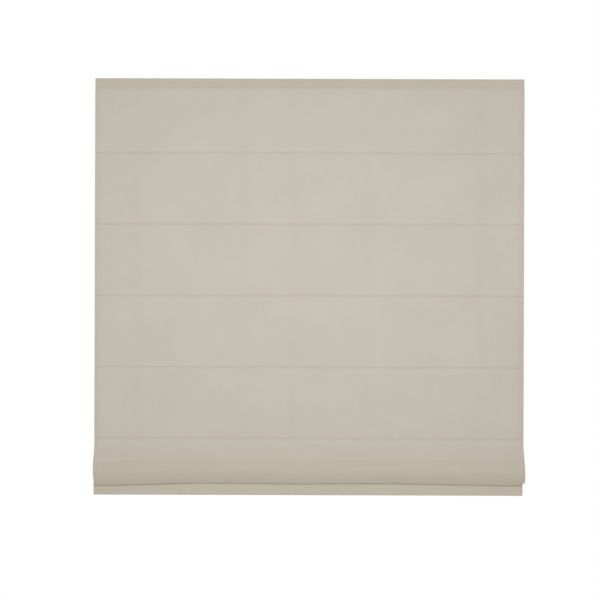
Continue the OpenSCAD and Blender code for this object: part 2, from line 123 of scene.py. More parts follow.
# The last fold: its belly slants back more and more to a tight turn, and it uses up one pitch of cloth
FOLD_DEPTH = CLOTH_Y - CLOTH_T / 2 - low("cloth").y
FOLD_LENGTH = SEAMS[0] - SEAMS[1] + LAST_SEAM - HUNG_Z
BELLY_BACK = FOLD_DEPTH - FOLD_GAP - FOLD_R * (1 + math.cos(FOLD_SLANT))
BELLY_H = BELLY_POWER * BELLY_BACK / math.tan(FOLD_SLANT)
BELLY_STRETCH = 2 * (1 / math.cos(FOLD_SLANT) ** 3 - 1) / (3 * math.tan(FOLD_SLANT) ** 2)
BELLY_EXTRA = BELLY_H * (BELLY_STRETCH - 1)
TURN_EXTRA = FOLD_R * (math.pi - FOLD_SLANT - 2 + math.sin(FOLD_SLANT))
EASE_EXTRA = (math.pi * FOLD_DEPTH) ** 2 / (16 * (FOLD_LENGTH / 2 - BELLY_H))
FOLD_LOW = LAST_SEAM - (FOLD_LENGTH - BELLY_EXTRA - TURN_EXTRA - EASE_EXTRA) / 2

# The bottom hem goes round the bar
BAR_HALF = (high("bottom_bar").y - low("bottom_bar").y) / 2
HEM_R = middle("bottom_bar").y - CLOTH_Y
BAR_ROOM = HEM_R - BAR_HALF - CLOTH_T / 2
HEM_AXIS = BOTTOM + CLOTH_T / 2 + HEM_R
HEM_TOP = high("bottom_bar").z + BAR_ROOM

# Rows of cloth along each stretch of the top band, of a panel and of the last fold
BAND_ROWS = 8
BAND_TURN_ROWS = 7
PANEL_ROWS = 32
EASE_ROWS = 40
BELLY_ROWS = 18
TURN_ROWS = 13
RISE_ROWS = 8
CREASE_ROWS = 10
FALL_ROWS = 15
HEM_ROWS = 12
HEM_BACK_ROWS = 3
FRONT_ROWS = 2 + EASE_ROWS + BELLY_ROWS

# The share of a panel's height given to its upper half, and the rest to its lower half
NOSE_DROP = 0.75

# How the real cloth hangs a little unevenly: the fold's bottom edge, its corner, and the shifts to the sides
SAG_X = [-600 * MM, -250 * MM, -40 * MM, 170 * MM, 600 * MM]
SAG = [-4 * MM, 3.5 * MM, 1.5 * MM, 3.5 * MM, -2 * MM]
STEP_DROP = 5 * MM
STRIP_SHIFT = -2 * MM
STRIP_SHIFT_ROWS = 25
FOLD_SHIFT = 1.3 * MM
FLARE_POWER = 5
CORNER_FLARE = 1.5 * MM
CORNER_W = 60 * MM
CORNER_LIFT = 7 * MM
CORNER_LIFT_W = 14 * MM
CREASES = [-480 * MM, -184 * MM, -46 * MM, 160 * MM, 476 * MM]
CREASE_W = 14 * MM

# Slow waves in the panels: each one's share, its turns per metre across and up in radians, and its start
UNDULATION = 0.5 * MM
WAVES = [(0.5, 9.1, 3.3, 0.7), (0.3, 17.3, -7.9, 2.1), (0.2, 5.3, 19.7, 4.0)]

# Painted shade on the cloth, from 0 to 1: darker where layers lie behind it and let less light through,
# along each seam where it is drawn in, over the top band, on the last fold's belly and on the strip in its
# shade
HEM_SHADE = 0.32
HEM_SHADE_EDGE = 1 * MM
CREASE_SHADE = 0.12
SEAM_SHADE = 0.4
SEAM_SHADE_H = 3 * MM
TOP_SHADE = 0.85
TOP_SHADE_FADE = 0.4
FOLD_SHADE = 0.3
FOLD_SHADE_H = 40 * MM
HUNG_SHADE = 0.45
HUNG_SHADE_START = 8 * MM
HUNG_SHADE_END = 3 * MM
BELLY_SHADE = 0.25
STRIP_SHADE = 0.45

# The tape wraps its rod with a little room, so its wall is what is left of the pocket's depth
POCKET_D = high("pocket_tape_1").y - low("pocket_tape_1").y
ROD_D = high("rod_1").y - low("rod_1").y
TAPE_T = (POCKET_D - ROD_D) / 2 - ROD_ROOM

# Stitches, and how far their rows lie from the edges that they hold
STITCH_PITCH = 4 * MM
STITCH_LENGTH = 2.9 * MM
STITCH_R = 0.32 * MM
STITCH_SWELL = [0.35, 0.85, 1.0, 0.85, 0.35]
STITCH_TILT = 0.12 * MM
STITCH_TILT_STEP = 12.9
STITCH_PROUD = 0.05 * MM
SEWN_MARGIN = 3 * MM
TOP_STITCH_UP = 2.5 * MM
TAPE_STITCH_DOWN = 1 * MM
LAST_TAPE_STITCH_DOWN = 2 * MM
HEM_STITCH_DOWN = 1 * MM
HEM_STITCH_BACK = 0.9 * MM

# Thread loops that tie the rings to the pockets
RING_WIRE_R = (high("cord_rings_1").z - low("cord_rings_1").z) / 2
LOOP_R = 1.3 * MM
LOOP_SPACING = 0.8 * MM
LOOP_SINK = 0.25 * MM
LOOP_STEPS = 14
THREAD_R = 0.22 * MM
THREAD_SIDES = 6

# Steps along the lift cords and round them
CORD_TURN_STEPS = 36
CORD_RUN_STEPS = 120
CORD_SIDES = 12

# The stage: a floor below the blind and even light all round
FLOOR_Z = BOTTOM - 0.95
FLOOR_X = 12
FLOOR_FRONT = -14
FLOOR_BACK = 2.2
FLOOR_PALENESS = 0.4
AMBIENT = 0.3

# Light: a softbox and a window in front, and a softbox behind
FRONT_BOX_AT = (0, CLOTH_Y - 1.75, -0.38)
FRONT_BOX_SIZE = (2.4, 1.3)
FRONT_BOX_POWER = 24
WINDOW_STRENGTH = 0.2
WINDOW_ELEVATION = math.radians(15)
WINDOW_SPREAD = math.radians(40)
BACK_BOX_AT = (0, 3.2, (TOP + BOTTOM) / 2 + 0.6)
BACK_BOX_SIZE = (5.2, 3.6)
BACK_BOX_POWER = 70
BACK_BOX_FACING = (0, -1, -0.15)

# The photograph's camera: its distance, the width it sees at the cloth, its place and its roll
VIEW_DISTANCE = 3.0
VIEW_WIDTH = 1678 * MM
VIEW_X = -26 * MM
VIEW_Z = TOP - 618.8 * MM
VIEW_ROLL = math.radians(0.18)


# Materials

# The distance from thread to thread, the hooks in a metre, and the strands that wind one way in a braid
CLOTH_PITCH = 0.85 * MM
TAPE_PITCH = 0.6 * MM
BRAID_PITCH = 1.6 * MM
TWIST_PITCH = 0.5 * MM
HOOKS_PER_M = 900.0
BRAID_STRANDS = 4.0

# Uneven threads, per metre across the blind and along it
WARP_SLUBS = (1100, 22, 0)
WEFT_SLUBS = (26, 1100, 0)
CLOUDS = (7, 9, 0)
TAPE_THREADS = (60, 400, 900)

# The broad unevenness of every grainy finish, and the share that its fine grain has beside it
BROAD_GRAIN = 40 * MM
FINE_SHARE = 0.6


def srgb(red, green, blue):
    """A colour as the shader takes it, from the numbers that it has on a screen."""
    shares = [value / 255 for value in (red, green, blue)]
    linear = [s / 12.92 if s <= 0.04045 else ((s + 0.055) / 1.055) ** 2.4 for s in shares]
    return (*linear, 1.0)


def new_material(name):
    material = bpy.data.materials.new(name)
    material.use_nodes = True
    return material, material.node_tree, material.node_tree.nodes["Principled BSDF"]


def add(tree, kind, links=(), **settings):
    """A node with its settings, and its inputs either set to a number or linked to another node's output."""
    node = tree.nodes.new(kind)
    for key, value in settings.items():
        setattr(node, key, value)
    for key, value in dict(links).items():
        if isinstance(value, bpy.types.NodeSocket):
            tree.links.new(value, node.inputs[key])
        else:
            node.inputs[key].default_value = value
    return node


def math_node(tree, operation, *values):
    node = add(tree, "ShaderNodeMath", enumerate(values), operation=operation)
    return node.outputs[0]


def stretched(tree, source, stretch):
    """Coordinates multiplied along each axis, so that a texture runs in streaks."""
    node = add(tree, "ShaderNodeVectorMath", {0: source, 1: stretch}, operation="MULTIPLY")
    return node.outputs["Vector"]


def noise(tree, source, scale=1.0, detail=2.0):
    node = add(tree, "ShaderNodeTexNoise", {"Vector": source, "Scale": scale, "Detail": detail})
    return node.outputs["Fac"]


def wave(tree, source, length):
    """A wave along a coordinate, that repeats after a length."""
    return math_node(tree, "SINE", math_node(tree, "MULTIPLY", source, 2 * math.pi / length))


def ramp(tree, factor, start, end, low_at=0.3, high_at=0.7):
    node = add(tree, "ShaderNodeValToRGB", {"Fac": factor})
    node.color_ramp.elements[0].position = low_at
    node.color_ramp.elements[0].color = start
    node.color_ramp.elements[1].position = high_at
    node.color_ramp.elements[1].color = end
    return node.outputs["Color"]


def spread(tree, factor, lowest, highest):
    node = add(tree, "ShaderNodeMapRange", {"Value": factor, "To Min": lowest, "To Max": highest})
    return node.outputs["Result"]


def coat(tree, bsdf, colour, roughness):
    tree.links.new(colour, bsdf.inputs["Base Color"])
    tree.links.new(roughness, bsdf.inputs["Roughness"])


def bump(tree, bsdf, height, strength, depth):
    node = add(tree, "ShaderNodeBump", {"Height": height, "Strength": strength, "Distance": depth})
    tree.links.new(node.outputs["Normal"], bsdf.inputs["Normal"])


def place(tree):
    return add(tree, "ShaderNodeTexCoord").outputs["Object"]


def attribute(tree, name):
    return add(tree, "ShaderNodeAttribute", attribute_name=name).outputs["Vector"]


def split(tree, source):
    return add(tree, "ShaderNodeSeparateXYZ", {0: source}).outputs


def grainy(name, colours, grain, roughness, depth, stretch=(1, 1, 1), **sockets):
    """A finish whose colour, roughness and relief follow one grain, in metres, that may run in streaks."""
    material, tree, bsdf = new_material(name)
    fine = noise(tree, stretched(tree, place(tree), stretch), 1 / grain, detail=3.0)
    broad = noise(tree, place(tree), 1 / BROAD_GRAIN)
    rest = math_node(tree, "MULTIPLY", broad, 1 - FINE_SHARE)
    mixed = math_node(tree, "MULTIPLY_ADD", fine, FINE_SHARE, rest)
    coat(tree, bsdf, ramp(tree, mixed, *colours), spread(tree, mixed, *roughness))
    bump(tree, bsdf, fine, strength=0.35, depth=depth)
    for socket, value in sockets.items():
        bsdf.inputs[socket.replace("_", " ")].default_value = value
    return material


def weave_height(tree, across, along, pitch):
    """Threads that pass over and under each other: ridges both ways, swapped in a checker."""
    return math_node(tree, "MULTIPLY", wave(tree, across, 2 * pitch), wave(tree, along, 2 * pitch))


def linen_cloth():
    """Plain-woven cloth: uneven threads both ways, and painted shade: a deeper tone where layers lie behind
    it, along the seams and on the last fold.
    """
    material, tree, bsdf = new_material("linen_cloth")
    flat = attribute(tree, "flat")
    axes = split(tree, flat)
    warp_slubs = noise(tree, stretched(tree, flat, WARP_SLUBS))
    weft_slubs = noise(tree, stretched(tree, flat, WEFT_SLUBS))
    clouds = noise(tree, stretched(tree, flat, CLOUDS))
    weave = weave_height(tree, axes["X"], axes["Y"], CLOTH_PITCH)
    slubs = math_node(tree, "ADD", warp_slubs, weft_slubs)
    tone = math_node(tree, "MULTIPLY_ADD", slubs, 0.35, math_node(tree, "MULTIPLY", clouds, 0.3))
    pale = ramp(tree, tone, srgb(198, 192, 177), srgb(208, 202, 189))
    # Painted shade: the Z of flat mixes in this deeper tone where the cloth is to look shaded
    painted_shade_tone = ramp(tree, tone, srgb(191, 182, 164), srgb(201, 192, 175))
    painted_shade_mix = add(tree, "ShaderNodeMixRGB", {"Fac": axes["Z"], "Color1": pale, "Color2": painted_shade_tone})
    coat(tree, bsdf, painted_shade_mix.outputs["Color"], spread(tree, tone, 0.82, 0.95))
    bsdf.inputs["Sheen Weight"].default_value = 0.08
    bsdf.inputs["Sheen Roughness"].default_value = 0.6
    bsdf.inputs["Specular IOR Level"].default_value = 0.25
    height = math_node(tree, "MULTIPLY_ADD", weave, 0.5, slubs)
    bump(tree, bsdf, height, strength=0.45, depth=0.18 * MM)
    return material


def woven_tape():
    """Narrow woven tape, finer than the cloth, with uneven threads and painted shade in the hollows of its
    weave.
    """
    material, tree, bsdf = new_material("woven_tape")
    axes = split(tree, place(tree))
    weave = weave_height(tree, axes["X"], axes["Z"], TAPE_PITCH)
    threads = noise(tree, stretched(tree, place(tree), TAPE_THREADS))
    # The tone is uneven threads plus a little painted shade where the weave's relief is low
    tone = math_node(tree, "MULTIPLY_ADD", weave, 0.12, threads)
    colour = ramp(tree, tone, srgb(208, 203, 192), srgb(226, 222, 212))
    coat(tree, bsdf, colour, spread(tree, threads, 0.7, 0.9))
    bump(tree, bsdf, tone, strength=0.5, depth=0.15 * MM)
    return material


def hook_tape():
    """Moulded nylon hooks in close rows, with painted shade in the gaps between them."""
    material, tree, bsdf = new_material("nylon_hooks")
    cells = {"Vector": place(tree), "Scale": HOOKS_PER_M, "Randomness": 0.35}
    spots = add(tree, "ShaderNodeTexVoronoi", cells).outputs["Distance"]
    # Painted shade: the colour darkens away from each hook, where the relief is lowest
    colour = ramp(tree, spots, srgb(236, 236, 231), srgb(206, 206, 200), low_at=0.1, high_at=0.8)
    coat(tree, bsdf, colour, spread(tree, spots, 0.35, 0.65))
    bump(tree, bsdf, math_node(tree, "SUBTRACT", 1.0, spots), strength=0.9, depth=0.4 * MM)
    return material


def braided_cord():
    """A braid: two sets of strands that wind round the cord both ways, with painted shade between the
    strands.
    """
    material, tree, bsdf = new_material("braided_cord")
    axes = split(tree, attribute(tree, "route"))
    turn = math_node(tree, "MULTIPLY", axes["X"], BRAID_STRANDS)
    run = math_node(tree, "MULTIPLY", axes["Y"], 2 * math.pi / BRAID_PITCH)
    right = math_node(tree, "SINE", math_node(tree, "ADD", turn, run))
    left = math_node(tree, "SINE", math_node(tree, "SUBTRACT", turn, run))
    braid = math_node(tree, "MAXIMUM", right, left)
    # Painted shade: darker where the braid's relief is low, between the strands
    colour = ramp(tree, braid, srgb(206, 205, 199), srgb(242, 241, 236), low_at=0.1, high_at=0.8)
    coat(tree, bsdf, colour, spread(tree, braid, 0.75, 0.55))
    bump(tree, bsdf, braid, strength=0.7, depth=0.12 * MM)
    return material


def sewing_thread():
    """Twisted thread, with the twist as fine slanted ridges and painted shade between them."""
    material, tree, bsdf = new_material("sewing_thread")
    axes = split(tree, stretched(tree, place(tree), (1.0, 0.6, 0.6)))
    along = math_node(tree, "ADD", axes["X"], axes["Z"])
    twist = wave(tree, along, TWIST_PITCH)
    # Painted shade: darker in the twist's grooves
    colour = ramp(tree, twist, srgb(186, 179, 163), srgb(199, 192, 178), low_at=0.0, high_at=1.0)
    coat(tree, bsdf, colour, spread(tree, twist, 0.8, 0.6))
    bump(tree, bsdf, twist, strength=0.5, depth=0.08 * MM)
    return material


def powder_coat():
    colours = (srgb(220, 220, 217), srgb(230, 230, 227))
    return grainy("powder_coat", colours, grain=0.8 * MM, roughness=(0.36, 0.5), depth=0.05 * MM)


def moulded_plastic():
    colours = (srgb(225, 225, 219), srgb(235, 235, 230))
    return grainy("moulded_plastic", colours, grain=0.5 * MM, roughness=(0.4, 0.55), depth=0.04 * MM)


def clear_plastic():
    """Clear moulded plastic with a faint flow in it."""
    return grainy(
        "clear_plastic",
        (srgb(236, 240, 240), srgb(248, 250, 250)),
        grain=8 * MM,
        roughness=(0.05, 0.16),
        depth=0.05 * MM,
        IOR=1.49,
        Transmission_Weight=0.88,
    )


def zinc_plate():
    return grainy(
        "zinc_plate",
        (srgb(164, 170, 176), srgb(194, 198, 201)),
        grain=3 * MM,
        roughness=(0.28, 0.5),
        depth=0.03 * MM,
        Metallic=1.0,
    )


def spring_steel():
    """Blued strip, with the streaks of its rolling."""
    return grainy(
        "spring_steel",
        (srgb(104, 111, 121), srgb(140, 146, 153)),
        grain=1 * MM,
        roughness=(0.25, 0.42),
        depth=0.02 * MM,
        stretch=(0.05, 1, 1),
        Metallic=1.0,
    )


def glass_fibre():
    """Rods with the streaks of their fibres."""
    return grainy(
        "glass_fibre",
        (srgb(222, 221, 208), srgb(240, 239, 229)),
        grain=0.4 * MM,
        roughness=(0.35, 0.55),
        depth=0.03 * MM,
        stretch=(0.02, 1, 1),
    )


def drawn_aluminium():
    return grainy(
        "drawn_aluminium",
        (srgb(190, 192, 195), srgb(214, 216, 218)),
        grain=0.5 * MM,
        roughness=(0.28, 0.45),
        depth=0.02 * MM,
        stretch=(0.02, 1, 1),
        Metallic=1.0,
    )


FINISHES = {
    "cloth": linen_cloth(),
    "rail": powder_coat(),
    "white_plastic": moulded_plastic(),
    "clear_plastic": clear_plastic(),
    "hook_tape": hook_tape(),
    "tape": woven_tape(),
    "zinc_steel": zinc_plate(),
    "spring_steel": spring_steel(),
    "glass_rod": glass_fibre(),
    "cord": braided_cord(),
    "bar": drawn_aluminium(),
}
THREAD = sewing_thread()


def dress_nodes():
    """Gives every solid the finish of its slot in the record."""
    for part in frame["record"]["subparts"]:
        mesh = frame["nodes"][part["node"]].data
        mesh.materials.clear()
        mesh.materials.append(FINISHES[part["material_slot"]])


# Meshes


def link(name, data):
    thing = bpy.data.objects.new(name, data)
    bpy.context.scene.collection.objects.link(thing)
    return thing


def make_piece(name, points, faces, material, body):
    """A smooth mesh with its faces turned outwards, that rides on a body."""
    mesh = bpy.data.meshes.new(name)
    mesh.from_pydata([tuple(p) for p in points], [], faces)
    shape = bmesh.new()
    shape.from_mesh(mesh)
    bmesh.ops.recalc_face_normals(shape, faces=shape.faces)
    shape.to_mesh(mesh)
    shape.free()
    mesh.materials.append(material)
    mesh.shade_smooth()
    piece = link(name, mesh)
    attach(piece, body)
    return piece


def set_vectors(piece, name, values):
    """Keeps a vector at each point of a mesh, for its material."""
    kept = piece.data.attributes.new(name, "FLOAT_VECTOR", "POINT")
    kept.data.foreach_set("vector", np.asarray(values, np.float32).ravel())


def ring_faces(first, rings, sides, closed=False):
    """Faces of a tube made of rings of points, joined into a loop or with a cap at each end."""
    faces = []
    for ring in range(rings if closed else rings - 1):
        here = first + ring * sides
        ahead = first + (ring + 1) % rings * sides
        for k in range(sides):
            right = (k + 1) % sides
            faces.append([here + k, here + right, ahead + right, ahead + k])
    if not closed:
        faces.append([first + k for k in range(sides)])
        faces.append([first + (rings - 1) * sides + k for k in range(sides)])
    return faces


def smooth_step(value, start, end):
    share = np.clip((np.asarray(value, float) - start) / (end - start), 0, 1)
    return share * share * (3 - 2 * share)


# Cloth: each piece is a grid of stations across it and rows along it, given a thickness


def turned_edge(side, sweep, steps=5):
    """Stations round a side edge, from the front layer towards the back: x, depth, and the way outwards."""
    r = CLOTH_T / 2
    angles = [sweep * k / steps for k in range(1, steps + 1)]
    return [
        (side * (FLAT_REACH + r * math.sin(a)), r * (1 - math.cos(a)), side * math.sin(a), -math.cos(a))
        for a in angles
    ]


def front_stations(spacing=10 * MM):
    count = round(2 * FLAT_REACH / spacing)
    return [(FLAT_REACH * (2 * k / count - 1), 0.0, 0.0, -1.0) for k in range(count + 1)]


def hem_stations(side, steps=4):
    """Stations on the edge that is turned in behind the front layer."""
    shares = [k / steps for k in range(1, steps + 1)]
    return [(side * (FLAT_REACH - SIDE_HEM * share), CLOTH_T, 0.0, 1.0) for share in shares]


def stations_with_hems():
    left = turned_edge(-1, math.pi) + hem_stations(-1)
    right = turned_edge(1, math.pi) + hem_stations(1)
    return np.array(left[::-1] + front_stations() + right)


def stations_closed():
    left = turned_edge(-1, math.pi / 2)
    right = turned_edge(1, math.pi / 2)
    return np.array(left[::-1] + front_stations() + right)


def length_along(first, second):
    """Distance from the start of a line of points, at each of them."""
    steps = np.hypot(np.diff(first), np.diff(second))
    return np.concatenate([[0.0], np.cumsum(steps)])


def cloth_faces(count, rows):
    """Faces of a sheet's front and back layer, and of the rim between them."""

    def corner(layer, column, row):
        return (layer * count + column) * rows + row

    faces = []
    for layer in (0, 1):
        for c in range(count - 1):
            for r in range(rows - 1):
                square = ((c, r), (c + 1, r), (c + 1, r + 1), (c, r + 1))
                faces.append([corner(layer, *p) for p in square])
    rim = [(c, 0) for c in range(count)]
    rim += [(count - 1, r) for r in range(1, rows)]
    rim += [(c, rows - 1) for c in range(count - 2, -1, -1)]
    rim += [(0, r) for r in range(rows - 2, 0, -1)]
    for here, ahead in zip(rim, rim[1:] + rim[:1]):
        faces.append([corner(0, *here), corner(0, *ahead), corner(1, *ahead), corner(1, *here)])
    return faces


def cloth_piece(name, stations, y, z, painted_shade, body, shift_x=0.0, start_v=0.0):
    """A cloth with a thickness. y and z have a line for each station and a column for each row."""
    x, depth, out_x, out_back = (np.broadcast_to(column[:, None], y.shape) for column in stations.T)
    slope_y = np.gradient(y, axis=1)
    slope_z = np.gradient(z, axis=1)
    size = np.hypot(slope_y, slope_z)
    back_y = -slope_z / size
    back_z = slope_y / size
    base = np.stack([x + shift_x, y + depth * back_y, z + depth * back_z], axis=-1)
    outward = np.stack([out_x, out_back * back_y, out_back * back_z], axis=-1)
    sides = [base + outward * LAYER_T / 2, base - outward * LAYER_T / 2]
    points = np.concatenate([side.reshape(-1, 3) for side in sides])
    piece = make_piece(name, points, cloth_faces(*y.shape), FINISHES["cloth"], body)
    piece.data.set_sharp_from_angle(angle=math.radians(60))

    # The cloth's own flat coordinates for the weave, and its painted shade, which darkens its colour
    centre = len(stations) // 2
    u = length_along(stations[:, 0], stations[:, 1])[:, None]
    v = start_v + length_along(y[centre], z[centre])[None, :]
    flat = np.stack([np.broadcast_to(values, y.shape) for values in (u, v, painted_shade)], axis=-1)
    set_vectors(piece, "flat", np.tile(flat.reshape(-1, 3), (2, 1)))
    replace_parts(piece, "cloth")
    return piece


def side_hem(x):
    """1 where the turned-in side edge lies behind the front layer, and 0 between the two edges."""
    inner = WIDTH / 2 - SIDE_HEM
    return smooth_step(np.abs(x), inner - HEM_SHADE_EDGE, inner)


# Painted shade in faint upright bands at the places in CREASES
def crease_painted_shade(x):
    return sum(CREASE_SHADE * np.exp(-(((x - crease) / CREASE_W) ** 2)) for crease in CREASES)


def sheet_painted_shade(x):
    """The painted shade across a hanging sheet's width: over the turned-in edges, where two layers let less
    light through, and along faint upright lines.
    """
    return HEM_SHADE * side_hem(x) + crease_painted_shade(x)


def seam_painted_shade(z):
    """Painted shade along the sewn line of each seam, where the cloth is pulled in on its tape."""
    return sum(SEAM_SHADE * np.exp(-(((z - seam) / SEAM_SHADE_H) ** 2)) for seam in SEAMS)


def unevenness(x, z):
    """The slow undulation of cloth that hangs free."""
    waves = [share * np.sin(across * x + up * z + start) for share, across, up, start in WAVES]
    return UNDULATION * sum(waves)


def top_band():
    """The top edge, turned down behind itself. Its rows go up the back, over the top and down the front."""
    stations = stations_closed()
    r = CLOTH_T / 2
    turn_z = TOP - LAYER_T / 2 - r
    heights = np.linspace(HEM_Z, turn_z, BAND_ROWS)
    angles = np.linspace(0, math.pi, BAND_TURN_ROWS + 2)[1:-1]
    back_y = np.full(BAND_ROWS, CLOTH_Y + CLOTH_T)
    front_y = np.full(BAND_ROWS, CLOTH_Y)
    y = np.concatenate([back_y, CLOTH_Y + r + r * np.cos(angles), front_y])
    z = np.concatenate([heights, turn_z + r * np.sin(angles), heights[::-1]])
    shape = (len(stations), len(z))
    y = np.broadcast_to(y, shape)
    z = np.broadcast_to(z, shape)
    # Painted shade over the top band, where the turned-down layer and the rail lie behind it, less toward
    # the ends
    painted_shade = TOP_SHADE - TOP_SHADE_FADE * (2 * stations[:, :1] / WIDTH) ** 2
    piece = cloth_piece("cloth_top_band", stations, y, z, painted_shade, "headrail_unit")


def panel_rows(top, bottom):
    """Heights and bow of one panel, which is drawn in close to its seams."""
    along = (1 - np.cos(np.linspace(0, math.pi, PANEL_ROWS + 1))) / 2
    start = top - STITCH_H / 2
    end = bottom + STITCH_H / 2
    from_seam = (start - end) * np.minimum(along, 1 - along)
    z = np.concatenate([[top], start + (end - start) * along, [bottom]])
    bow = np.concatenate([[0], 1 - np.exp(-from_seam / SEAM_EASE), [0]])
    return z, bow


def half_panel(name, body, sewn_to, z, bow, seam_z, share):
    """The rows from a seam to the middle of its panel. The share of the panel's height that it is given is
    not used."""
    stations = stations_with_hems()
    x = stations[:, :1]
    height = z[0] - z[-1]
    evened = np.sin(math.pi / 2 * (1 - np.abs(seam_z - z) / height)) ** 2
    y = CLOTH_Y - bow * (PANEL_BOW + evened * unevenness(x, z))
    # Painted shade of the side hems, the faint upright lines and the seams
    painted_shade = sheet_painted_shade(x) + seam_painted_shade(z)
    all_z = np.broadcast_to(z, y.shape)
    piece = cloth_piece(name, stations, y, all_z, painted_shade, body, start_v=HEM_Z - z[0])
    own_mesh(piece)


def panels():
    """The five flat panels above the last seam, in halves that go with the rods at their seams."""
    edges = [HEM_Z] + SEAMS
    bodies = ["headrail_unit"] + [f"rod_{i}_carrier" for i in FLAT_RODS]
    carriers = ["cloth_top_band"] + [f"pocket_tape_{i}" for i in FLAT_RODS]
    for i in FLAT_RODS:
        z, bow = panel_rows(edges[i - 1], edges[i])
        half = len(z) // 2
        upper = (z[: half + 1], bow[: half + 1], z[0], NOSE_DROP)
        lower = (z[half:], bow[half:], z[-1], 1 - NOSE_DROP)
        half_panel(f"cloth_panel_{i}_upper", bodies[i - 1], carriers[i - 1], *upper)
        half_panel(f"cloth_panel_{i}_lower", bodies[i], carriers[i], *lower)


def sag_at(x):
    """How far the bottom of the last fold hangs above its mean, softly curved between the values of SAG."""
    found = np.zeros_like(x)
    for k in range(len(SAG) - 1):
        share = smooth_step(x, SAG_X[k], SAG_X[k + 1])
        inside = (x >= SAG_X[k]) & (x <= SAG_X[k + 1])
        found = np.where(inside, SAG[k] + (SAG[k + 1] - SAG[k]) * share, found)
    found = np.where(x < SAG_X[0], SAG[0], found)
    return np.where(x > SAG_X[-1], SAG[-1], found)


def rows_to(start, end, count):
    """Even steps that go on from a start to an end, one for each row."""
    return np.linspace(start, end, count + 1)[None, 1:]


def fold_rows(x, turn_z, belly_z):
    """The last fold's y and z at each station and row, from the last seam to the end of the hem."""
    all_y = []
    all_z = []

    def stretch(y, z):
        rows = np.broadcast_shapes(np.shape(y), np.shape(z))[-1]
        all_y.append(np.broadcast_to(y, (len(x), rows)))
        all_z.append(np.broadcast_to(z, (len(x), rows)))

    # The front eases forward below the seam's stitched flat
    ease = np.linspace(0, 1, EASE_ROWS + 1)[None, :]
    start = LAST_SEAM - STITCH_H / 2
    stretch(CLOTH_Y, [[LAST_SEAM]])
    stretch(CLOTH_Y - FOLD_DEPTH * (1 - np.cos(math.pi * ease)) / 2, start + (belly_z - start) * ease)

    # Its belly slants back to the bottom, where a tight turn leads to the leg that goes up behind it
    belly = rows_to(0, 1, BELLY_ROWS)
    stretch(CLOTH_Y - FOLD_DEPTH + BELLY_BACK * belly**BELLY_POWER, belly_z - BELLY_H * belly)
    turn = rows_to(math.pi + FOLD_SLANT, 2 * math.pi, TURN_ROWS)
    stretch(CLOTH_Y - FOLD_GAP - FOLD_R + FOLD_R * np.cos(turn), turn_z + FOLD_R * np.sin(turn))
    crease_z = HUNG_Z - FOLD_GAP / 2
    stretch(CLOTH_Y - FOLD_GAP, turn_z + (crease_z - turn_z) * rows_to(0, 1, RISE_ROWS))

    # The crease at the hung seam, and the bottom section down to the hem
    over = rows_to(math.pi, 0, CREASE_ROWS)
    stretch(CLOTH_Y - FOLD_GAP / 2 * (1 - np.cos(over)), crease_z + FOLD_GAP / 2 * np.sin(over))
    stretch(CLOTH_Y, rows_to(crease_z, HEM_AXIS, FALL_ROWS))

    # The hem, round the bar and back to the bottom section, behind the turned-in side edges
    hem = rows_to(math.pi, 2 * math.pi, HEM_ROWS)
    stretch(CLOTH_Y + HEM_R + HEM_R * np.cos(hem), HEM_AXIS + HEM_R * np.sin(hem))
    stretch(CLOTH_Y + 2 * HEM_R, rows_to(HEM_AXIS, HEM_TOP, HEM_BACK_ROWS))
    sewn_y = CLOTH_Y + CLOTH_T / 2 + LAYER_T / 2 + 2 * CLOTH_T * side_hem(x)
    slant = rows_to(0, 1, HEM_BACK_ROWS)
    stretch(CLOTH_Y + 2 * HEM_R + (sewn_y - CLOTH_Y - 2 * HEM_R) * slant, HEM_TOP + HEM_SLANT * slant)
    return np.concatenate(all_y, axis=1), np.concatenate(all_z, axis=1)


def fold_painted_shade(x, z, belly_z, fold_low):
    """Painted shade on the last fold: a little below the last seam, more where layers hang behind the front
    below the hung seam, on the belly as it turns under, and over all of the bottom section, which has layers
    behind it and lies in the fold's shade.
    """
    step_z = HUNG_Z - STEP_DROP * smooth_step(x, SAG_X[1], SAG_X[0])
    # Painted shade, added up stretch by stretch from the last seam down
    behind = FOLD_SHADE * smooth_step(z, LAST_SEAM, LAST_SEAM - FOLD_SHADE_H)
    behind = behind + HUNG_SHADE * smooth_step(z, step_z + HUNG_SHADE_START, step_z + HUNG_SHADE_END)
    behind = behind + BELLY_SHADE * smooth_step(z, belly_z, fold_low)
    # The bottom section takes an even painted shade
    behind[:, FRONT_ROWS:] = STRIP_SHADE
    return np.maximum(behind, sheet_painted_shade(x) + seam_painted_shade(z))


def fold_shift(x, count):
    """The fold hangs a little to one side with a flared corner, and the bottom section to the other side."""
    rows = np.arange(count)[None, :]
    folded = smooth_step(rows, 0, FRONT_ROWS)
    hung = smooth_step(rows, FRONT_ROWS, FRONT_ROWS + STRIP_SHIFT_ROWS)
    corner = smooth_step(x, WIDTH / 2 - CORNER_W, WIDTH / 2)
    return STRIP_SHIFT * hung + (FOLD_SHIFT + CORNER_FLARE * corner) * folded**FLARE_POWER * (1 - hung)


def last_fold():
    """From the last seam over the soft fold to the hung crease, and down the bottom section into its hem."""
    stations = stations_with_hems()
    x = stations[:, :1]
    corner_lift = CORNER_LIFT * smooth_step(x, WIDTH / 2 - CORNER_LIFT_W, WIDTH / 2)
    fold_low = FOLD_LOW + sag_at(x) + corner_lift
    turn_z = fold_low + FOLD_R
    belly_z = turn_z - FOLD_R * math.sin(FOLD_SLANT) + BELLY_H
    y, z = fold_rows(x, turn_z, belly_z)
    # Painted shade for the fold's cloth colour
    painted_shade = fold_painted_shade(x, z, belly_z, fold_low)
    shift_x = fold_shift(x, y.shape[1])
    start_v = HEM_Z - LAST_SEAM
    piece = cloth_piece("cloth_last_fold", stations, y, z, painted_shade, "bottom_section", shift_x, start_v)


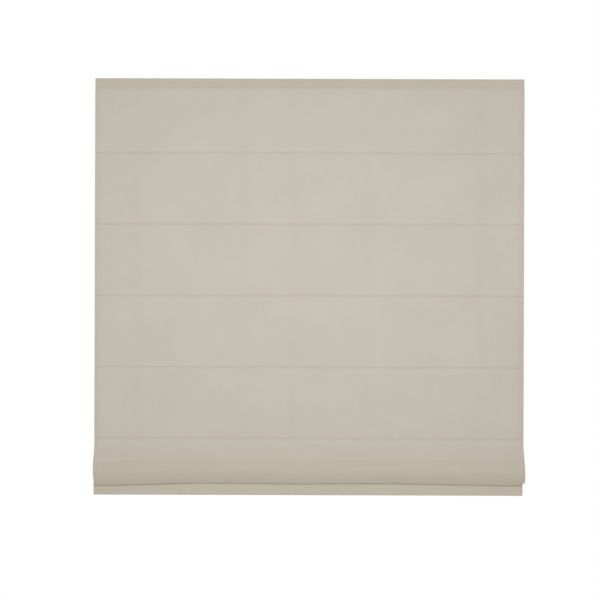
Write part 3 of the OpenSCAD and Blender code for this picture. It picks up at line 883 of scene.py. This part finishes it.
# Stitching


def stitch_row(name, y, z, body, half_width):
    """A row of sewn stitches across the blind, each a short thread that dips into the cloth at both ends."""
    rings = len(STITCH_SWELL)
    points = []
    faces = []
    for n in range(int(2 * half_width / STITCH_PITCH)):
        centre = -half_width + (n + 0.5) * STITCH_PITCH
        tilt = STITCH_TILT * math.sin(STITCH_TILT_STEP * n)
        faces += ring_faces(len(points), rings, THREAD_SIDES)
        for ring, swell in enumerate(STITCH_SWELL):
            along = ring / (rings - 1) - 0.5
            for k in range(THREAD_SIDES):
                a = 2 * math.pi * k / THREAD_SIDES
                points.append((
                    centre + along * STITCH_LENGTH,
                    y + STITCH_R * swell * math.cos(a),
                    z + 2 * along * tilt + STITCH_R * swell * math.sin(a),
                ))
    make_piece(name, points, faces, THREAD, body)


def stitching():
    """The rows that hold the top hem, the seams and their tapes, the lowest tape and the bottom hem."""
    sewn_w = WIDTH / 2 - SEWN_MARGIN
    front_y = CLOTH_Y - LAYER_T / 2 - STITCH_PROUD
    stitch_row("stitches_top_hem", front_y, HEM_Z + TOP_STITCH_UP, "headrail_unit", sewn_w)
    for i, seam in zip(FLAT_RODS, SEAMS):
        body = f"rod_{i}_carrier"
        tape = f"pocket_tape_{i}"
        stitch_row(f"stitches_seam_{i}", front_y, seam, body, sewn_w)
        stitch_row(f"stitches_tape_{i}", low(tape).y + TAPE_T, seam - TAPE_STITCH_DOWN, body, high(tape).x)
    last_tape = "pocket_tape_6"
    tape_y = low(last_tape).y + TAPE_T
    tape_z = high(last_tape).z - LAST_TAPE_STITCH_DOWN
    stitch_row("stitches_tape_6", tape_y, tape_z, "bottom_section", high(last_tape).x)
    hem_y = CLOTH_Y + CLOTH_T / 2 + LAYER_T + HEM_STITCH_BACK
    hem_z = HEM_TOP + HEM_SLANT - HEM_STITCH_DOWN
    stitch_row("stitches_bottom_hem", hem_y, hem_z, "bottom_section", WIDTH / 2 - 2 * SIDE_HEM)


def cord_x(n):
    return low(f"lift_cord_{n}").x + CORD_D / 2


def thread_loop(x, y, z):
    """Points of one round loop of thread, that stands across the blind."""
    points = []
    for step in range(LOOP_STEPS):
        a = 2 * math.pi * step / LOOP_STEPS
        for k in range(THREAD_SIDES):
            b = 2 * math.pi * k / THREAD_SIDES
            r = LOOP_R + THREAD_R * math.cos(b)
            points.append((x + THREAD_R * math.sin(b), y + r * math.cos(a), z + r * math.sin(a)))
    return points


def ring_threads():
    """Three loops of thread that tie each cord ring to the pocket behind the cloth."""
    for i in RODS:
        body = f"rod_{i}_carrier" if i in FLAT_RODS else "bottom_section"
        y = low(f"cord_rings_{i}").y + RING_WIRE_R - LOOP_SINK
        z = middle(f"rod_{i}").z
        points = []
        faces = []
        for n in CORDS:
            for offset in (-LOOP_SPACING, 0.0, LOOP_SPACING):
                faces += ring_faces(len(points), LOOP_STEPS, THREAD_SIDES, closed=True)
                points += thread_loop(cord_x(n) + offset, y, z)
        make_piece(f"ring_threads_{i}", points, faces, THREAD, body)


# Lift cords


def tube(name, route, body):
    """A cord along a route of points, with its angle and length kept for the braid."""
    points = []
    strands = []
    run = 0.0
    for k, here in enumerate(route):
        ahead = route[min(k + 1, len(route) - 1)]
        behind = route[max(k - 1, 0)]
        run += (here - behind).length if k else 0.0
        way = (ahead - behind).normalized()
        side = Vector((1, 0, 0))
        side = (side - way * side.dot(way)).normalized()
        other = way.cross(side)
        for s in range(CORD_SIDES):
            a = 2 * math.pi * s / CORD_SIDES
            points.append(here + CORD_D / 2 * (math.cos(a) * side + math.sin(a) * other))
            strands.append((a, run, 0.0))
    faces = ring_faces(0, len(route), CORD_SIDES)
    piece = make_piece(name, points, faces, FINISHES["cord"], body)
    set_vectors(piece, "route", strands)
    return piece


def wound_route(x, axis, wind_r):
    """The turns on a spool, from the cord's end to where it leaves the spool."""
    steps = round(REST_TURNS * CORD_TURN_STEPS)
    route = []
    for k in range(steps + 1):
        left = REST_TURNS * (1 - k / steps)
        a = math.pi - 2 * math.pi * left
        y = axis.y + wind_r * math.cos(a)
        z = axis.z + wind_r * math.sin(a)
        route.append(Vector((x + left * WIND_PITCH, y, z)))
    return route


def lift_cords():
    """Each cord is wound on its spool and runs straight down through the rings to its stop."""
    axis = Vector(JOINTS["shaft_turn"]["pos_m"])
    for n in CORDS:
        node = f"lift_cord_{n}"
        x = cord_x(n)
        wind_r = axis.y - low(node).y - CORD_D / 2
        run_y = axis.y - wind_r
        drop = axis.z - low(node).z
        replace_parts(tube(f"cord_turns_{n}", wound_route(x, axis, wind_r), "headrail_unit"), node)
        heights = [axis.z - drop * k / CORD_RUN_STEPS for k in range(CORD_RUN_STEPS + 1)]
        run = tube(f"cord_run_{n}", [Vector((x, run_y, z)) for z in heights], "headrail_unit")
        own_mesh(run)
        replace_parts(run, node)


# Stage, light and camera


def seen_rays(tree):
    """1 for rays that show the background: to the camera, in metal and through clear plastic."""
    rays = add(tree, "ShaderNodeLightPath").outputs
    seen = math_node(tree, "MAXIMUM", rays["Is Camera Ray"], rays["Is Glossy Ray"])
    return math_node(tree, "MAXIMUM", seen, rays["Is Transmission Ray"])


def floor():
    """A plain floor below the blind, that is seen paler than it lights the blind."""
    corners = [
        (-FLOOR_X, FLOOR_FRONT, FLOOR_Z),
        (FLOOR_X, FLOOR_FRONT, FLOOR_Z),
        (FLOOR_X, FLOOR_BACK, FLOOR_Z),
        (-FLOOR_X, FLOOR_BACK, FLOOR_Z),
    ]
    mesh = bpy.data.meshes.new("floor")
    mesh.from_pydata(corners, [], [(0, 1, 2, 3)])
    paint = grainy(
        "floor_paint",
        (srgb(236, 235, 233), srgb(242, 241, 239)),
        grain=60 * MM,
        roughness=(0.7, 0.85),
        depth=0.2 * MM,
        Emission_Color=(1, 1, 1, 1),
    )
    tree = paint.node_tree
    paleness = math_node(tree, "MULTIPLY", seen_rays(tree), FLOOR_PALENESS)
    tree.links.new(paleness, tree.nodes["Principled BSDF"].inputs["Emission Strength"])
    mesh.materials.append(paint)
    plane = link("floor", mesh)


def lamp(name, kind, energy, facing):
    light = bpy.data.lights.new(name, kind)
    light.energy = energy
    holder = link(name, light)
    holder.rotation_euler = Vector(facing).to_track_quat("-Z", "Z").to_euler()
    return holder


def softbox(name, place_at, size, power, facing):
    holder = lamp(name, "AREA", power, facing)
    holder.location = place_at
    holder.visible_camera = False
    holder.data.shape = "RECTANGLE"
    holder.data.size, holder.data.size_y = size


def window_light():
    """Light from the front and a little above, as from a large window."""
    falls = (0, math.cos(WINDOW_ELEVATION), -math.sin(WINDOW_ELEVATION))
    holder = lamp("window_light", "SUN", WINDOW_STRENGTH, falls)
    holder.data.angle = WINDOW_SPREAD


def lights():
    softbox("front_softbox", FRONT_BOX_AT, FRONT_BOX_SIZE, FRONT_BOX_POWER, (0, 1, 0))
    window_light()
    softbox("back_softbox", BACK_BOX_AT, BACK_BOX_SIZE, BACK_BOX_POWER, BACK_BOX_FACING)


def world():
    """Even ambient light, with white behind the object and in its reflections."""
    setting = bpy.data.worlds.new("studio")
    setting.use_nodes = True
    tree = setting.node_tree
    tree.nodes.clear()
    fill = add(tree, "ShaderNodeBackground", {"Color": (1, 1, 1, 1), "Strength": AMBIENT})
    white = add(tree, "ShaderNodeBackground", {"Color": (1, 1, 1, 1), "Strength": 1.0})
    both = add(tree, "ShaderNodeMixShader", {0: seen_rays(tree), 1: fill.outputs[0], 2: white.outputs[0]})
    add(tree, "ShaderNodeOutputWorld", {"Surface": both.outputs[0]})
    bpy.context.scene.world = setting


def camera():
    data = bpy.data.cameras.new("camera")
    data.angle = 2 * math.atan(VIEW_WIDTH / 2 / VIEW_DISTANCE)
    view = link("camera", data)
    facing = Matrix.Rotation(math.pi / 2, 4, "X") @ Matrix.Rotation(VIEW_ROLL, 4, "Z")
    view.matrix_world = Matrix.Translation((VIEW_X, CLOTH_Y - VIEW_DISTANCE, VIEW_Z)) @ facing
    bpy.context.scene.camera = view


dress_nodes()
top_band()
panels()
last_fold()
stitching()
ring_threads()
lift_cords()
floor()
lights()
world()
camera()
bpy.context.scene.view_settings.view_transform = "Standard"
